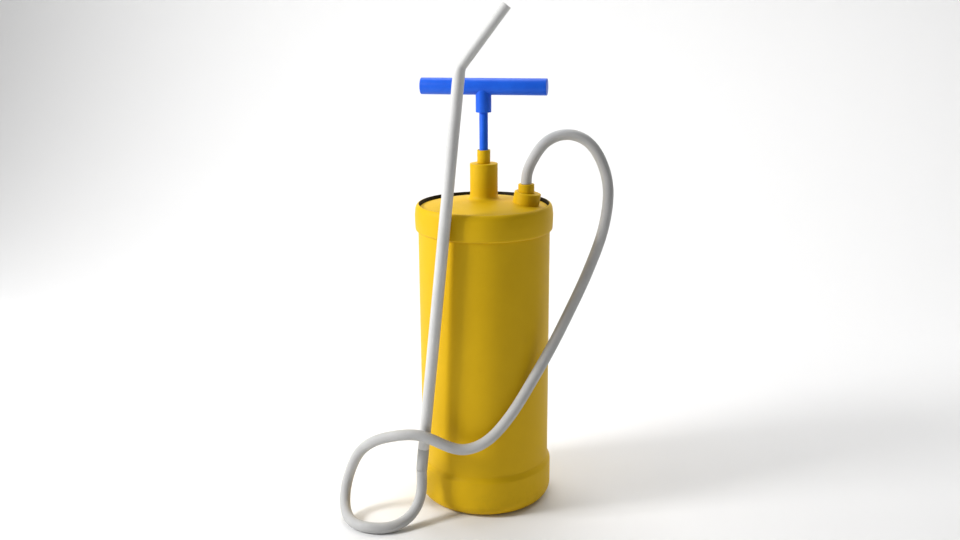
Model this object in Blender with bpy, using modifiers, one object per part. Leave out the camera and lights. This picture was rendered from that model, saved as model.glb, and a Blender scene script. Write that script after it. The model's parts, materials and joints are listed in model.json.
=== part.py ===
"""Compression sprayer: a round pressure tank with a hand pump, a hose and a bent spray wand.

Units are metres and +Z is up. The origin is on the tank's axis, on the floor that it stands on.
The T-handle's bar lies along X, and the hose leaves the tank's head on the +X side.
"""
import math

import bmesh
import bpy
import numpy as np
from mathutils import Vector

MM = 0.001

# ---------------------------------------------------------------- driving sizes
SEAM = 0.3 * MM               # space kept between two pieces that touch
RUN = 0.3 * MM                # radial space round a piece that turns or slides

TANK_RADIUS = 90.0 * MM
TANK_WALL = 1.5 * MM
TANK_TOP = 404.0 * MM         # upper edge of the rolled wall

CUP_WALL = 3.7 * MM
CUP_HEIGHT = 60.0 * MM
CUP_ROUND = 17.0 * MM         # the pressed corner round the cup's floor
CUP_TAPER = 9.0 * MM          # height over which the cup's rim thins out
CUP_RIM = 0.4 * MM            # how thick the rim is at its top

RING_WALL = 3.5 * MM
RING_HEIGHT = 36.5 * MM
RING_LAP = 15.0 * MM          # how far the ring reaches down over the wall
RING_CROWN = 0.6 * MM         # how far the ring's face swells between its edges
RING_EDGE = 1.6 * MM

HEAD_RISE = 16.0 * MM         # dome's edge above the wall's upper edge
HEAD_SPHERE = 330.0 * MM
HEAD_SKIRT = 34.0 * MM
HEAD_EDGE_ROUND = 3.0 * MM
BOTTOM_SPHERE = 420.0 * MM
BOTTOM_CLEARANCE = 1.0 * MM   # between the tank's bottom and the cup's floor, on the axis
BOTTOM_SKIRT = 22.0 * MM

NECK_RADIUS = 18.8 * MM
NECK_FILLET = 6.0 * MM
NECK_HEIGHT = 18.2 * MM       # from the dome's own height at the neck to the seam under the cap
NECK_BORE = 15.0 * MM
SPIGOT_RADIUS = 16.9 * MM
SPIGOT_HEIGHT = 8.0 * MM

CAP_HEIGHT = 29.7 * MM
CAP_ROUND = 1.0 * MM
GUIDE_RADIUS = 8.85 * MM
GUIDE_HEIGHT = 17.7 * MM
GUIDE_THREAD_RADIUS = 7.7 * MM
GUIDE_THREAD = 3.7 * MM
GUIDE_EDGE = 0.5 * MM
WIPER_DEPTH = 4.7 * MM
WIPER_RADIUS = 7.3 * MM
BUSH_RADIUS = 9.3 * MM

BARREL_RADIUS = 14.0 * MM
BARREL_WALL = 1.6 * MM
BARREL_LENGTH = 308.0 * MM
BARREL_FLANGE = 2.7 * MM
GASKET = 2.0 * MM
FOOT_HEIGHT = 12.0 * MM
FOOT_SPIGOT = 16.0 * MM
AIR_HOLE = 3.0 * MM
VALVE_POCKET = 8.0 * MM
VALVE_POCKET_RADIUS = 9.5 * MM
VALVE_RADIUS = 7.5 * MM
VALVE_THICK = 2.2 * MM
SPRING_RADIUS = 4.6 * MM
SPRING_WIRE = 0.45 * MM
SPRING_TURNS = 3
CAGE_THICK = 3.6 * MM
CAGE_HOLE = 2.2 * MM
CAGE_HOLE_CIRCLE = 6.6 * MM

ROD_RADIUS = 5.8 * MM
ROD_SHOWING = 49.9 * MM       # bare rod between the guide nut and the handle, as it stands
STEM_RADIUS = 3.5 * MM
STEM_LENGTH = 20.0 * MM
PISTON_DOWN_ROOM = 52.0 * MM  # from the piston's end to the barrel's foot, as it stands
WASHER_THICK = 2.2 * MM
PISTON_CUP_RADIUS = BARREL_RADIUS - BARREL_WALL - RUN
WASHER_RADIUS = PISTON_CUP_RADIUS - 0.7 * MM
PISTON_CUP_HEIGHT = 11.0 * MM
PISTON_CUP_WALL = 1.7 * MM
PISTON_CUP_SHOULDER = 1.2 * MM
EXPANDER_TAPER = 1.1 * MM
EXPANDER_THICK = 5.0 * MM
NUT_ACROSS = 13.0 * MM
NUT_THICK = 4.5 * MM
BUMPER_HEIGHT = 6.0 * MM
BUMPER_RADIUS = 9.0 * MM

SOCKET_RADIUS = 10.5 * MM
BAR_RADIUS = 11.1 * MM
BAR_WALL = 2.0 * MM
BAR_LENGTH = 170.0 * MM
BAR_ABOVE_SOCKET_FOOT = 33.8 * MM
BAR_PLUG = 6.0 * MM
PIN_RADIUS = 1.6 * MM
PIN_ABOVE_SOCKET_FOOT = 8.0 * MM
ROD_IN_SOCKET = 19.0 * MM

OUTLET_INSET = 31.8 * MM      # from the tank's wall in to the outlet's axis
OUTLET_TILT = math.radians(9.0)
BOSS_RADIUS = 18.0 * MM
BOSS_HEIGHT = 15.0 * MM
BOSS_EDGE = 1.0 * MM
BOSS_SEAT_DEPTH = 2.8 * MM
BOSS_BORE = 5.6 * MM
GLAND_RADIUS = 10.9 * MM
GLAND_HEIGHT = 13.9 * MM
GLAND_EDGE = 0.6 * MM
OUTLET_GASKET = 1.5 * MM
NIPPLE_FLANGE = 2.0 * MM
NIPPLE_FLANGE_RADIUS = 8.8 * MM
NIPPLE_STUB_RADIUS = 5.0 * MM
NIPPLE_SPIGOT = 21.0 * MM
NIPPLE_SPIGOT_RADIUS = 5.25 * MM
NIPPLE_BORE = 2.6 * MM
DIP_RADIUS = 4.3 * MM
DIP_BORE = 3.0 * MM
DIP_SOCKET = 14.0 * MM
STRAINER_RADIUS = 7.0 * MM
STRAINER_HEIGHT = 16.0 * MM
STRAINER_ABOVE_BOTTOM = 3.0 * MM
STRAINER_SLOT_RADIUS = 1.4 * MM

HOSE_RADIUS = 7.25 * MM
HOSE_SPACING = 21.0 * MM      # distance between the points of the hose's centre line
HOSE_STUB = 6.0 * MM          # straight length at each of the hose's ends

WAND_RADIUS = 7.65 * MM
WAND_WALL = 1.5 * MM
SLEEVE_LENGTH = 32.0 * MM
SLEEVE_BORE = 5.6 * MM
JOINER_STEP = 15.0 * MM       # how far a joiner's thin end goes into a tube
JOINER_BORE = 3.5 * MM
ELBOW_LEG = 6.5 * MM          # from the bend to each end of the bent piece
TIP_RADIUS = 6.3 * MM
TIP_WALL = 1.5 * MM
NOZZLE_CAP_LENGTH = 14.0 * MM
NOZZLE_CAP_BORE = 4.9 * MM
NOZZLE_FRONT = 2.4 * MM
NOZZLE_HOLE = 0.9 * MM
NOZZLE_HEAD = 4.0 * MM
NOZZLE_NOSE_RADIUS = 4.4 * MM
NOZZLE_NOSE = 9.5 * MM
NOZZLE_BORE = 1.5 * MM
NOZZLE_GROOVE = 1.0 * MM      # depth of the seal's groove
NOZZLE_GROOVE_WIDTH = 1.3 * MM
NOZZLE_GROOVE_UP = 2.2 * MM   # from the head to the groove
NOZZLE_DISH_RADIUS = 3.0 * MM
NOZZLE_DISH_DEPTH = 1.2 * MM
NOZZLE_EDGE = 0.8 * MM
SEAL_RADIUS = 0.42 * MM
DISC_THICK = 1.2 * MM
DISC_HOLE = 1.0 * MM

THROUGH = 30.0 * MM           # reach of a cutter that goes right through
BIG_ROUND = 48                # sides of the tank's own pieces
MID_ROUND = 36
ROUND = 24
SMALL_ROUND = 16

# The wand's joints and the hose's route, in millimetres, as they lie round a tank of the radius and
# with the outlet's height below. They move out with its wall and up with its outlet. The hose goes from
# the gland, over and down past the tank's front, across the wand, round a loose loop on the floor and up
# into the wand's sleeve.
ROUTE_TANK_RADIUS = 90.0 * MM
ROUTE_OUTLET_TOP = 452.87 * MM
ROUTE_LOOP_TOP = 135.0 * MM   # the loop below this height lies on the floor whatever the tank's height
WAND_LOW_MM = (-63.2, -103.6, 104.0)
WAND_BEND_MM = (-9.4, -96.8, 608.2)
WAND_TIP_MM = (47.9, -89.4, 683.9)
HOSE_ROUTE_MM = [
    (58.8, 0.2, 464), (68, 2, 488), (86, 5, 510.5), (111, 9, 518.8),
    (137, 13, 510), (156, 13.5, 485), (166, 12, 453), (166, 8, 418), (160, 3, 385),
    (149.5, -4, 352), (137.3, -13, 320), (123.5, -23.5, 288), (109, -36, 256), (94.2, -49.5, 226),
    (78.5, -65, 197), (61.5, -80, 167), (41.5, -92.5, 138.5), (19, -101.5, 117.5), (-9, -109.5, 109.5),
    (-36, -116, 119), (-65, -121.5, 130.3), (-96, -123, 127.5), (-125, -118, 116.2),
    (-152, -109.5, 93.5), (-168, -104.5, 64), (-174.5, -110.3, 37.3), (-168.4, -130.3, 14.1),
    (-149.3, -150.9, 7.6), (-123, -158.5, 7.6), (-99.4, -152.1, 7.6), (-75.7, -128.5, 16.2),
    (-67.1, -110.7, 36.5), (-66.6, -104.3, 58),
]

# ---------------------------------------------------------------- worked-out places
RING_INNER = TANK_RADIUS + SEAM
RING_OUTER = RING_INNER + RING_WALL
RING_FOOT = TANK_TOP - RING_LAP
RING_TOP = RING_FOOT + RING_HEIGHT
CUP_INNER = TANK_RADIUS + SEAM
CUP_OUTER = CUP_INNER + CUP_WALL
TANK_FOOT = CUP_ROUND + SEAM  # lower edge of the rolled wall
BOTTOM_CENTRE = CUP_WALL + BOTTOM_CLEARANCE
HEAD_RADIUS = TANK_RADIUS - TANK_WALL - SEAM
OUTLET_OFFSET = TANK_RADIUS - OUTLET_INSET
HEAD_EDGE = TANK_TOP + HEAD_RISE


def dome_height(radius):
    """Height of the head's outer surface at a distance from the axis."""
    return HEAD_EDGE + (HEAD_RADIUS ** 2 - radius ** 2) / (2 * HEAD_SPHERE)


NECK_TOP = dome_height(NECK_RADIUS) + NECK_HEIGHT
SPIGOT_TOP = NECK_TOP + SPIGOT_HEIGHT
FLANGE_FOOT = SPIGOT_TOP + SEAM + GASKET + SEAM
FLANGE_TOP = FLANGE_FOOT + BARREL_FLANGE
CAP_FOOT = NECK_TOP + SEAM
CAP_TOP = CAP_FOOT + CAP_HEIGHT
GUIDE_FOOT = CAP_TOP + SEAM
GUIDE_TOP = GUIDE_FOOT + GUIDE_HEIGHT
BARREL_BORE = BARREL_RADIUS - BARREL_WALL
BARREL_FOOT = FLANGE_TOP - BARREL_LENGTH
FOOT_BOTTOM = BARREL_FOOT - SEAM - FOOT_HEIGHT
FOOT_TOP = BARREL_FOOT + FOOT_SPIGOT
VALVE_SEAT = FOOT_BOTTOM + VALVE_POCKET
ROD_BORE = ROD_RADIUS + RUN
STEM_END = FOOT_TOP + PISTON_DOWN_ROOM
SHOULDER = STEM_END + STEM_LENGTH
SOCKET_FOOT = GUIDE_TOP + ROD_SHOWING
BAR_CENTRE = SOCKET_FOOT + BAR_ABOVE_SOCKET_FOOT
ROD_TOP = SOCKET_FOOT + ROD_IN_SOCKET
BOSS_FOOT = dome_height(OUTLET_OFFSET)
OUTLET_AXIS = Vector((math.sin(OUTLET_TILT), 0, math.cos(OUTLET_TILT)))
BOSS_CREST = Vector((OUTLET_OFFSET, 0, BOSS_FOOT)) + OUTLET_AXIS * BOSS_HEIGHT
SEAT = BOSS_CREST.z - BOSS_SEAT_DEPTH
GLAND_FOOT = SEAT + SEAM
GLAND_TOP = GLAND_FOOT + GLAND_HEIGHT


def placed(point):
    """A point of the wand or the hose, in metres, moved out with the tank's wall and up with its outlet."""
    x, y, z = (value * MM for value in point)
    outwards = 1 + (TANK_RADIUS - ROUTE_TANK_RADIUS) / math.hypot(x, y)
    if z > ROUTE_LOOP_TOP:
        upwards = (GLAND_TOP - ROUTE_LOOP_TOP) / (ROUTE_OUTLET_TOP - ROUTE_LOOP_TOP)
        z = ROUTE_LOOP_TOP + (z - ROUTE_LOOP_TOP) * upwards
    return Vector((x * outwards, y * outwards, z))


WAND_LOW = placed(WAND_LOW_MM)
WAND_BEND = placed(WAND_BEND_MM)
WAND_TIP = placed(WAND_TIP_MM)
WAND_DIRECTION = (WAND_BEND - WAND_LOW).normalized()
TIP_DIRECTION = (WAND_TIP - WAND_BEND).normalized()
SLEEVE_FOOT = WAND_LOW - WAND_DIRECTION * SLEEVE_LENGTH
WAND_INNER = WAND_RADIUS - WAND_WALL
TIP_INNER = TIP_RADIUS - TIP_WALL

# ---------------------------------------------------------------- scene and collections
for old in list(bpy.data.objects):
    bpy.data.objects.remove(old, do_unlink=True)

scene = bpy.context.scene
parts = bpy.data.collections.new("compression_sprayer")
cutters = bpy.data.collections.new("cutters")
scene.collection.children.link(parts)
scene.collection.children.link(cutters)


# ---------------------------------------------------------------- materials
def finish(name, colour, roughness, metallic=0.0):
    """One Principled material."""
    material = bpy.data.materials.new(name)
    material.use_nodes = True
    shader = material.node_tree.nodes["Principled BSDF"]
    shader.inputs["Base Color"].default_value = (*colour, 1.0)
    shader.inputs["Roughness"].default_value = roughness
    shader.inputs["Metallic"].default_value = metallic
    material.diffuse_color = (*colour, 1.0)
    return material


YELLOW = finish("yellow_paint", (0.86, 0.56, 0.02), 0.45)
BLUE = finish("blue_plastic", (0.02, 0.16, 0.80), 0.40)
GREY = finish("grey_hose", (0.62, 0.62, 0.61), 0.55)
WAND_GREY = finish("wand_grey", (0.72, 0.72, 0.71), 0.42)
SLEEVE_GREY = finish("sleeve_grey", (0.40, 0.40, 0.39), 0.55)
RUBBER = finish("black_rubber", (0.02, 0.02, 0.02), 0.80)
LEATHER = finish("oiled_leather", (0.16, 0.08, 0.03), 0.75)
STEEL = finish("zinc_steel", (0.60, 0.61, 0.62), 0.35, 1.0)
BRASS = finish("brass", (0.72, 0.50, 0.18), 0.35, 1.0)
WHITE_PLASTIC = finish("natural_plastic", (0.80, 0.79, 0.74), 0.50)


# ---------------------------------------------------------------- modelling helpers
def add_object(name, data, material, collection):
    """Link a new object, with its material, in a collection."""
    thing = bpy.data.objects.new(name, data)
    if material is not None:
        data.materials.append(material)
    collection.objects.link(thing)
    if collection is cutters:
        thing.hide_render = True
        thing.display_type = "WIRE"
    return thing


def along(thing, start, direction):
    """Place a piece that was turned about its own Z so that it starts at a point and follows a direction."""
    thing.rotation_mode = "QUATERNION"
    thing.rotation_quaternion = direction.to_track_quat("Z", "Y")
    thing.location = start
    return thing


def arc(centre_r, centre_z, radius, first_deg, last_deg, count):
    """Points of a profile's rounded corner, as (radius, height)."""
    angles = [math.radians(first_deg + (last_deg - first_deg) * i / count) for i in range(count + 1)]
    return [(centre_r + radius * math.cos(a), centre_z + radius * math.sin(a)) for a in angles]


def turned(name, profile, material, sides=ROUND, collection=None, closed=False):
    """Turn a profile of (radius, height) points, outer side from the top down, about Z.

    A closed profile makes a ring or a tube. An open one starts and ends on the axis.
    """
    mesh = bpy.data.meshes.new(name)
    shape = bmesh.new()
    verts = [shape.verts.new((r, 0.0, z)) for r, z in profile]
    for first, second in zip(verts, verts[1:]):
        shape.edges.new((first, second))
    if closed:
        shape.edges.new((verts[-1], verts[0]))
    shape.to_mesh(mesh)
    shape.free()
    thing = add_object(name, mesh, material, collection or parts)
    screw = thing.modifiers.new("turn", "SCREW")
    screw.axis = "Z"
    screw.angle = math.tau
    screw.steps = sides
    screw.render_steps = sides
    screw.use_merge_vertices = True
    screw.merge_threshold = 0.00001
    screw.use_smooth_shade = True
    weld = thing.modifiers.new("close poles", "WELD")
    weld.merge_threshold = 0.00001
    return thing


def tube_profile(outer, inner, foot, top):
    """Closed profile of a plain tube."""
    return [(outer, top), (outer, foot), (inner, foot), (inner, top)]


def rod_profile(radius, foot, top):
    """Open profile of a plain round bar."""
    return [(0.0, top), (radius, top), (radius, foot), (0.0, foot)]


def tube(name, outer, inner, foot, top, material, sides=ROUND, collection=None):
    return turned(name, tube_profile(outer, inner, foot, top), material, sides, collection, closed=True)


def round_bar(name, radius, foot, top, material, sides=ROUND, collection=None):
    return turned(name, rod_profile(radius, foot, top), material, sides, collection)


def boolean(target, tool, operation="DIFFERENCE"):
    """Cut a piece by a tool, or join the tool to it."""
    step = target.modifiers.new(tool.name, "BOOLEAN")
    step.operation = operation
    step.solver = "EXACT"
    step.object = tool
    return target


def smooth_path(points, spacing):
    """Points at an even spacing along one smooth curve through the given points.

    The curve is a natural cubic spline on the distance between the points.
    """
    given = np.array(points, dtype=float)
    steps = np.linalg.norm(np.diff(given, axis=0), axis=1)
    knots = np.concatenate(([0.0], np.cumsum(steps)))
    count = len(given)
    matrix = np.eye(count)
    right = np.zeros_like(given)
    for i in range(1, count - 1):
        before, after = steps[i - 1], steps[i]
        matrix[i, i - 1:i + 2] = before, 2 * (before + after), after
        right[i] = 6 * ((given[i + 1] - given[i]) / after - (given[i] - given[i - 1]) / before)
    bend = np.linalg.solve(matrix, right)

    def at(distance):
        i = min(int(np.searchsorted(knots, distance, side="right")) - 1, count - 2)
        width = steps[i]
        low = (knots[i + 1] - distance) / width
        high = 1.0 - low
        return (low * given[i] + high * given[i + 1]
                + ((low ** 3 - low) * bend[i] + (high ** 3 - high) * bend[i + 1]) * width ** 2 / 6)

    pieces = max(2, round(knots[-1] / spacing))
    return [Vector(at(knots[-1] * i / pieces)) for i in range(pieces + 1)]


def wire(name, points, radius, material, resolution, collection=None):
    """A round wire or tube along a line of points, with closed ends."""
    curve = bpy.data.curves.new(name, "CURVE")
    curve.dimensions = "3D"
    curve.bevel_depth = radius
    curve.bevel_resolution = resolution
    curve.use_fill_caps = True
    spline = curve.splines.new("POLY")
    spline.points.add(len(points) - 1)
    for target, point in zip(spline.points, points):
        target.co = (*point, 1.0)
    spline.use_smooth = True
    return add_object(name, curve, material, collection or parts)


def as_mesh(thing):
    """Replace a curve object by a closed mesh, so that it can be cut or joined."""
    bpy.context.view_layer.update()
    graph = bpy.context.evaluated_depsgraph_get()
    mesh = bpy.data.meshes.new_from_object(thing.evaluated_get(graph))
    shape = bmesh.new()
    shape.from_mesh(mesh)
    bmesh.ops.remove_doubles(shape, verts=shape.verts, dist=0.000001)
    bmesh.ops.recalc_face_normals(shape, faces=shape.faces)
    shape.to_mesh(mesh)
    shape.free()
    name = thing.name
    collection = thing.users_collection[0]
    matrix = thing.matrix_world.copy()
    curve = thing.data
    bpy.data.objects.remove(thing, do_unlink=True)
    bpy.data.curves.remove(curve)
    replacement = add_object(name, mesh, None, collection)
    replacement.matrix_world = matrix
    return replacement


# ---------------------------------------------------------------- tank
def make_tank():
    """Rolled wall, dished bottom, domed head with its neck, carrying ring and base cup."""
    tube("tank_wall", TANK_RADIUS, TANK_RADIUS - TANK_WALL, TANK_FOOT, TANK_TOP, YELLOW, BIG_ROUND)

    def dish(radius, lift):
        return BOTTOM_CENTRE + lift + radius ** 2 / (2 * BOTTOM_SPHERE)

    rim = HEAD_RADIUS
    inner = rim - TANK_WALL
    outer_dish = [(rim * i / 4, dish(rim * i / 4, 0)) for i in range(5)]
    inner_dish = [(inner * i / 4, dish(inner * i / 4, TANK_WALL)) for i in range(5)]
    skirt_top = dish(rim, 0) + BOTTOM_SKIRT
    turned("tank_bottom", inner_dish + [(inner, skirt_top), (rim, skirt_top)] + outer_dish[::-1],
           YELLOW, BIG_ROUND)

    cup = [(CUP_INNER, CUP_HEIGHT), (CUP_INNER + CUP_RIM, CUP_HEIGHT), (CUP_OUTER, CUP_HEIGHT - CUP_TAPER)]
    corner = CUP_OUTER - CUP_ROUND
    cup += arc(corner, CUP_ROUND, CUP_ROUND, 0, -90, 6) + [(0.0, 0.0)]
    hollow = [(0.0, CUP_WALL)] + arc(corner, CUP_ROUND, CUP_ROUND - CUP_WALL, -90, 0, 4)
    turned("base_cup", hollow + cup, YELLOW, BIG_ROUND)

    face = [(RING_OUTER, RING_TOP - RING_EDGE), (RING_OUTER + RING_CROWN, (RING_TOP + RING_FOOT) / 2),
            (RING_OUTER, RING_FOOT + RING_EDGE), (RING_OUTER - RING_EDGE, RING_FOOT)]
    shoulder = TANK_TOP + SEAM
    throat = HEAD_RADIUS + SEAM
    inner_edge = RING_EDGE / 2
    back = [(RING_INNER, RING_FOOT), (RING_INNER, shoulder), (throat, shoulder),
            (throat, RING_TOP - inner_edge), (throat + inner_edge, RING_TOP)]
    turned("top_ring", [(RING_OUTER - RING_EDGE, RING_TOP)] + face + back, YELLOW, BIG_ROUND, closed=True)


def head_profile(grow=0.0):
    """Outer line of the head from the neck's fillet out to its edge, moved out by a distance."""
    fillet_foot = NECK_RADIUS + NECK_FILLET
    centre_z = dome_height(fillet_foot) + NECK_FILLET
    line = arc(fillet_foot, centre_z, NECK_FILLET - grow, 180, 270, 3)
    last = HEAD_RADIUS - HEAD_EDGE_ROUND
    for i in range(1, 5):
        radius = fillet_foot + (last - fillet_foot) * i / 4
        line.append((radius, dome_height(radius) + grow))
    return line


def make_head():
    """The domed head, with the neck that the pump screws on to and the hole under the outlet."""
    # The underside starts where the fillet ends, and stays inside the outer line at the rim.
    inner = [(r - TANK_WALL / 2, z - TANK_WALL) for r, z in head_profile()[3:]]
    edge_z = dome_height(HEAD_RADIUS - HEAD_EDGE_ROUND)
    outer = [(NECK_BORE, SPIGOT_TOP), (SPIGOT_RADIUS, SPIGOT_TOP), (SPIGOT_RADIUS, NECK_TOP),
             (NECK_RADIUS, NECK_TOP)]
    outer += head_profile()
    outer += arc(HEAD_RADIUS - HEAD_EDGE_ROUND, edge_z - HEAD_EDGE_ROUND, HEAD_EDGE_ROUND, 60, 0, 2)
    skirt_foot = HEAD_EDGE - HEAD_SKIRT
    skirt_inner = HEAD_RADIUS - TANK_WALL
    outer += [(HEAD_RADIUS, skirt_foot), (skirt_inner, skirt_foot), (skirt_inner, edge_z - HEAD_EDGE_ROUND)]
    under_neck = [(NECK_BORE, inner[0][1])]
    head = turned("tank_head", outer + inner[::-1] + under_neck, YELLOW, BIG_ROUND, closed=True)
    hole = round_bar("outlet_hole", NIPPLE_SPIGOT_RADIUS + 2 * RUN, BOSS_FOOT - THROUGH, BOSS_FOOT + THROUGH,
                     None, SMALL_ROUND, cutters)
    hole.location.x = OUTLET_OFFSET
    boolean(head, hole)


# ---------------------------------------------------------------- outlet and dip tube
def make_outlet():
    """The tilted boss, its nipple and gland nut, and the tube that draws from the tank's bottom."""
    boss = round_bar("outlet_boss", BOSS_RADIUS, -BOSS_RADIUS / 2, BOSS_HEIGHT, YELLOW)
    round_edge = boss.modifiers.new("edge", "BEVEL")
    round_edge.width = BOSS_EDGE
    round_edge.segments = 1
    round_edge.limit_method = "ANGLE"
    along(boss, Vector((OUTLET_OFFSET, 0, BOSS_FOOT)), OUTLET_AXIS)
    # The dome's own line, as a solid, shapes the boss's underside.
    line = head_profile(SEAM)
    below = HEAD_EDGE - HEAD_SKIRT
    dome = [(0.0, line[0][1])] + line + [(RING_OUTER, line[-1][1]), (RING_OUTER, below), (0.0, below)]
    boolean(boss, turned("dome_form", dome, None, BIG_ROUND, cutters))
    seat = round_bar("gland_seat", GLAND_RADIUS + SEAM, SEAT, SEAT + THROUGH, None, ROUND, cutters)
    bore = round_bar("outlet_bore", BOSS_BORE, BOSS_FOOT - THROUGH, BOSS_FOOT + THROUGH, None, SMALL_ROUND,
                     cutters)
    for cutter in (seat, bore):
        cutter.location.x = OUTLET_OFFSET
        boolean(boss, cutter)

    gasket_top = SEAT + SEAM + OUTLET_GASKET
    flange_foot = gasket_top + SEAM
    flange_top = flange_foot + NIPPLE_FLANGE
    pocket = NIPPLE_FLANGE_RADIUS + SEAM
    plate = flange_top + SEAM
    pieces = [
        tube("outlet_gasket", NIPPLE_FLANGE_RADIUS, BOSS_BORE, SEAT + SEAM, gasket_top, RUBBER, SMALL_ROUND),
        turned("gland_nut", [
            (NIPPLE_STUB_RADIUS + SEAM, GLAND_TOP), (GLAND_RADIUS - GLAND_EDGE, GLAND_TOP),
            (GLAND_RADIUS, GLAND_TOP - GLAND_EDGE), (GLAND_RADIUS, GLAND_FOOT), (pocket, GLAND_FOOT),
            (pocket, plate), (NIPPLE_STUB_RADIUS + SEAM, plate)], YELLOW, ROUND, closed=True),
    ]
    spigot_foot = flange_foot - NIPPLE_SPIGOT
    socket_top = spigot_foot + DIP_SOCKET
    nipple = [(NIPPLE_BORE, GLAND_TOP - SEAM), (NIPPLE_STUB_RADIUS, GLAND_TOP - SEAM),
              (NIPPLE_STUB_RADIUS, flange_top), (NIPPLE_FLANGE_RADIUS, flange_top),
              (NIPPLE_FLANGE_RADIUS, flange_foot), (NIPPLE_SPIGOT_RADIUS, flange_foot),
              (NIPPLE_SPIGOT_RADIUS, spigot_foot), (DIP_RADIUS + RUN, spigot_foot),
              (DIP_RADIUS + RUN, socket_top), (NIPPLE_BORE, socket_top)]
    pieces.append(turned("hose_nipple", nipple, BRASS, SMALL_ROUND, closed=True))
    strainer_foot = (BOTTOM_CENTRE + TANK_WALL + (OUTLET_OFFSET + STRAINER_RADIUS) ** 2 / (2 * BOTTOM_SPHERE)
                     + STRAINER_ABOVE_BOTTOM)
    strainer_top = strainer_foot + STRAINER_HEIGHT
    dip_foot = strainer_foot + STRAINER_HEIGHT / 2
    pieces.append(tube("dip_tube", DIP_RADIUS, DIP_BORE, dip_foot, socket_top - SEAM, WHITE_PLASTIC,
                       SMALL_ROUND))
    hold = DIP_RADIUS + SEAM
    strainer = turned("dip_strainer", [
        (hold, strainer_top), (STRAINER_RADIUS, strainer_top), (STRAINER_RADIUS, strainer_foot),
        (DIP_BORE, strainer_foot), (DIP_BORE, dip_foot - SEAM), (hold, dip_foot - SEAM)],
        WHITE_PLASTIC, SMALL_ROUND, closed=True)
    slot_z = (strainer_foot + dip_foot) / 2
    for i in range(2):
        slot = round_bar(f"strainer_slot_{i + 1}", STRAINER_SLOT_RADIUS, -THROUGH, THROUGH, None, 8, cutters)
        turn = math.pi / 4 + i * math.pi / 2
        along(slot, Vector((OUTLET_OFFSET, 0, slot_z)), Vector((math.cos(turn), math.sin(turn), 0)))
        boolean(strainer, slot)
    pieces.append(strainer)
    for piece in pieces:
        piece.location.x = OUTLET_OFFSET


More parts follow.
